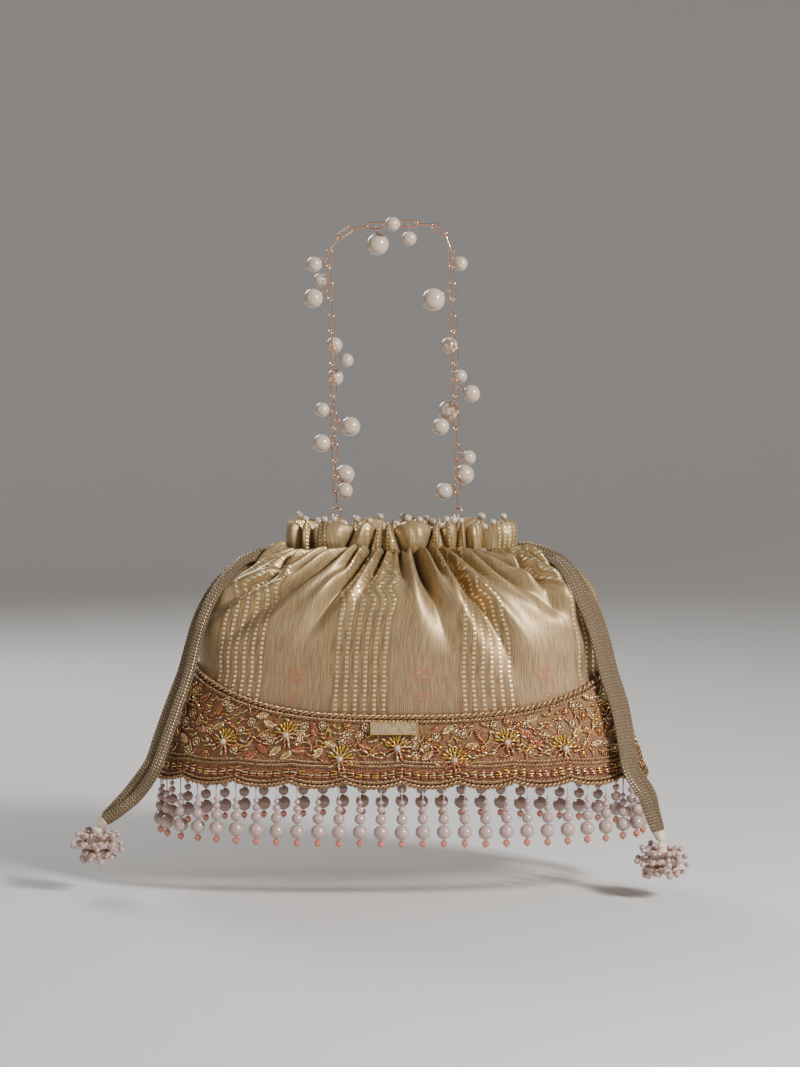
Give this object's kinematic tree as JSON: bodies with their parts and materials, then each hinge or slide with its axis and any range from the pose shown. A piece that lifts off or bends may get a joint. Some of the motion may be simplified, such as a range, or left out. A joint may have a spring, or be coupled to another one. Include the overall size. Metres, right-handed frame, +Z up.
{
  "type": "drawstring evening bag",
  "caption": "Gathered drawstring evening pouch on a stiff oval base, with a beaded border, pearl fringe, tasselled cords and a pearl-hung chain handle.",
  "frame": {"origin": "middle of the chain handle, where a hand holds it; the bag hangs below", "axes": "+Z up, -Y the front with the label plate, +X to the right seen from the front"},
  "size_m": [0.3227, 0.1064, 0.3415],
  "materials": {
    "brocade": "satin brocade",
    "lining_satin": "satin",
    "stiffener_board": "matt",
    "base_board": "raw board",
    "cord_braid": "knitted metallic braid",
    "pearl": "pearlescent",
    "border_cloth": "embroidered net on cloth",
    "gold_thread": "metallic thread",
    "gold_beads": "polished",
    "copper_beads": "polished",
    "label_metal": "satin",
    "cream_thread": "satin thread",
    "rose_gold": "polished",
    "pink_pearl": "pearlescent"
  },
  "bodies": {
    "handle_top": {"top_links": "rose_gold", "top_pearls": "pearl"},
    "left_leg": {"left_leg_links": "rose_gold", "left_leg_pearls": "pearl"},
    "right_leg": {"right_leg_links": "rose_gold", "right_leg_pearls": "pearl"},
    "left_ring": {"left_end_ring": "rose_gold"},
    "right_ring": {"right_end_ring": "rose_gold"},
    "left_drawstring": {"left_cord_front_leg": "cord_braid", "left_cord_back_leg": "cord_braid", "left_cord_binding": "cream_thread"},
    "right_drawstring": {"right_cord_front_leg": "cord_braid", "right_cord_back_leg": "cord_braid", "right_cord_binding": "cream_thread"},
    "left_tassel": {"left_tassel_cap": "cream_thread", "left_tassel_pearls": "pearl"},
    "right_tassel": {"right_tassel_cap": "cream_thread", "right_tassel_pearls": "pearl"},
    "fringe_1": {"fringe_group_1": "pink_pearl"},
    "fringe_2": {"fringe_group_2": "pink_pearl"},
    "fringe_3": {"fringe_group_3": "pink_pearl"},
    "fringe_4": {"fringe_group_4": "pink_pearl"},
    "fringe_5": {"fringe_group_5": "pink_pearl"},
    "fringe_6": {"fringe_group_6": "pink_pearl"},
    "fringe_7": {"fringe_group_7": "pink_pearl"},
    "fringe_8": {"fringe_group_8": "pink_pearl"},
    "fringe_9": {"fringe_group_9": "pink_pearl"},
    "fringe_10": {"fringe_group_10": "pink_pearl"},
    "fringe_11": {"fringe_group_11": "pink_pearl"},
    "fringe_12": {"fringe_group_12": "pink_pearl"},
    "fringe_13": {"fringe_group_13": "pink_pearl"},
    "fringe_14": {"fringe_group_14": "pink_pearl"},
    "fringe_15": {"fringe_group_15": "pink_pearl"},
    "fringe_16": {"fringe_group_16": "pink_pearl"},
    "fringe_17": {"fringe_group_17": "pink_pearl"},
    "fringe_18": {"fringe_group_18": "pink_pearl"},
    "bag": {"pouch": "brocade", "lining": "lining_satin", "wall_stiffener": "stiffener_board", "base_board": "base_board", "sole": "brocade", "front_casing": "brocade", "back_casing": "brocade", "front_channel_cords": "cord_braid", "back_channel_cords": "cord_braid", "mouth_ruffle": "brocade", "ruffle_pearls": "pearl", "front_border": "border_cloth", "back_border": "border_cloth", "front_border_trim": "gold_thread", "back_border_trim": "gold_thread", "front_flowers": "gold_beads", "back_flowers": "gold_beads", "front_bugle_beads": "copper_beads", "back_bugle_beads": "copper_beads", "label_plate": "label_metal", "left_handle_anchor": "cream_thread", "right_handle_anchor": "cream_thread"}
  },
  "joints": [
    {"name": "left_leg_swing", "type": "hinge", "parent": "handle_top", "child": "left_leg", "pos_m": [-0.03293, 0, -0.01386], "axis": [0, 1, 0], "range_deg": [-14, 14]},
    {"name": "right_leg_swing", "type": "hinge", "parent": "handle_top", "child": "right_leg", "pos_m": [0.0306, 0, -0.01383], "axis": [0, 1, 0], "range_deg": [-15, 15]},
    {"name": "left_ring_turn", "type": "hinge", "parent": "left_leg", "child": "left_ring", "pos_m": [-0.02941, 0, -0.14821], "axis": [0, 1, 0], "range_deg": [-15, 15]},
    {"name": "right_ring_turn", "type": "hinge", "parent": "right_leg", "child": "right_ring", "pos_m": [0.03412, 0, -0.14818], "axis": [0, 1, 0], "range_deg": [-15, 15]},
    {"name": "bag_swing", "type": "hinge", "parent": "left_ring", "child": "bag", "pos_m": [0.00235, 0, -0.1523], "axis": [1, 0, 0], "range_deg": [-35, 35]},
    {"name": "left_drawstring_pull", "type": "slide", "parent": "bag", "child": "left_drawstring", "axis": [-1, 0, 0], "range_m": [0, 0.012]},
    {"name": "right_drawstring_pull", "type": "slide", "parent": "bag", "child": "right_drawstring", "axis": [1, 0, 0], "range_m": [0, 0.012]},
    {"name": "left_tassel_swing", "type": "hinge", "parent": "left_drawstring", "child": "left_tassel", "pos_m": [-0.15334, -0.02248, -0.31287], "axis": [0, 1, 0], "range_deg": [-18, 25]},
    {"name": "right_tassel_swing", "type": "hinge", "parent": "right_drawstring", "child": "right_tassel", "pos_m": [0.13859, -0.03716, -0.31839], "axis": [0, 1, 0], "range_deg": [-25, 25]},
    {"name": "fringe_1_swing", "type": "hinge", "parent": "bag", "child": "fringe_1", "pos_m": [0.12747, 0.01581, -0.2868], "axis": [0.529, -0.8486, 0], "range_deg": [-4, 25]},
    {"name": "fringe_2_swing", "type": "hinge", "parent": "bag", "child": "fringe_2", "pos_m": [0.10112, 0.03461, -0.28678], "axis": [0.9252, -0.3794, 0], "range_deg": [-8, 40]},
    {"name": "fringe_3_swing", "type": "hinge", "parent": "bag", "child": "fringe_3", "pos_m": [0.06973, 0.04325, -0.28707], "axis": [0.9838, -0.1793, 0], "range_deg": [-8, 40]},
    {"name": "fringe_4_swing", "type": "hinge", "parent": "bag", "child": "fringe_4", "pos_m": [0.03742, 0.04708, -0.28707], "axis": [0.9978, -0.0667, 0], "range_deg": [-8, 40]},
    {"name": "fringe_5_swing", "type": "hinge", "parent": "bag", "child": "fringe_5", "pos_m": [0.00485, 0.048, -0.28668], "axis": [1, 0, 0], "range_deg": [-8, 40]},
    {"name": "fringe_6_swing", "type": "hinge", "parent": "bag", "child": "fringe_6", "pos_m": [-0.02771, 0.04708, -0.28707], "axis": [0.9978, 0.0667, 0], "range_deg": [-8, 40]},
    {"name": "fringe_7_swing", "type": "hinge", "parent": "bag", "child": "fringe_7", "pos_m": [-0.06002, 0.04325, -0.28707], "axis": [0.9838, 0.1793, 0], "range_deg": [-8, 40]},
    {"name": "fringe_8_swing", "type": "hinge", "parent": "bag", "child": "fringe_8", "pos_m": [-0.09141, 0.03461, -0.28678], "axis": [0.9252, 0.3794, 0], "range_deg": [-8, 40]},
    {"name": "fringe_9_swing", "type": "hinge", "parent": "bag", "child": "fringe_9", "pos_m": [-0.11776, 0.01581, -0.2868], "axis": [0.529, 0.8486, 0], "range_deg": [-4, 25]},
    {"name": "fringe_10_swing", "type": "hinge", "parent": "bag", "child": "fringe_10", "pos_m": [-0.11776, -0.01581, -0.2868], "axis": [-0.529, 0.8486, 0], "range_deg": [-4, 25]},
    {"name": "fringe_11_swing", "type": "hinge", "parent": "bag", "child": "fringe_11", "pos_m": [-0.09141, -0.03461, -0.28678], "axis": [-0.9252, 0.3794, 0], "range_deg": [-8, 40]},
    {"name": "fringe_12_swing", "type": "hinge", "parent": "bag", "child": "fringe_12", "pos_m": [-0.06002, -0.04325, -0.28707], "axis": [-0.9838, 0.1793, 0], "range_deg": [-8, 40]},
    {"name": "fringe_13_swing", "type": "hinge", "parent": "bag", "child": "fringe_13", "pos_m": [-0.02771, -0.04708, -0.28707], "axis": [-0.9978, 0.0667, 0], "range_deg": [-8, 40]},
    {"name": "fringe_14_swing", "type": "hinge", "parent": "bag", "child": "fringe_14", "pos_m": [0.00485, -0.048, -0.28668], "axis": [-1, 0, 0], "range_deg": [-8, 40]},
    {"name": "fringe_15_swing", "type": "hinge", "parent": "bag", "child": "fringe_15", "pos_m": [0.03742, -0.04708, -0.28707], "axis": [-0.9978, -0.0667, 0], "range_deg": [-8, 40]},
    {"name": "fringe_16_swing", "type": "hinge", "parent": "bag", "child": "fringe_16", "pos_m": [0.06973, -0.04325, -0.28707], "axis": [-0.9838, -0.1793, 0], "range_deg": [-8, 40]},
    {"name": "fringe_17_swing", "type": "hinge", "parent": "bag", "child": "fringe_17", "pos_m": [0.10112, -0.03461, -0.28678], "axis": [-0.9252, -0.3794, 0], "range_deg": [-8, 40]},
    {"name": "fringe_18_swing", "type": "hinge", "parent": "bag", "child": "fringe_18", "pos_m": [0.12747, -0.01581, -0.2868], "axis": [-0.529, -0.8486, 0], "range_deg": [-4, 25]}
  ],
  "couplings": [
    {"joint": "right_leg_swing", "follows": "left_leg_swing", "ratio": 1},
    {"joint": "left_ring_turn", "follows": "left_leg_swing", "ratio": -1},
    {"joint": "right_ring_turn", "follows": "left_leg_swing", "ratio": -1}
  ]
}
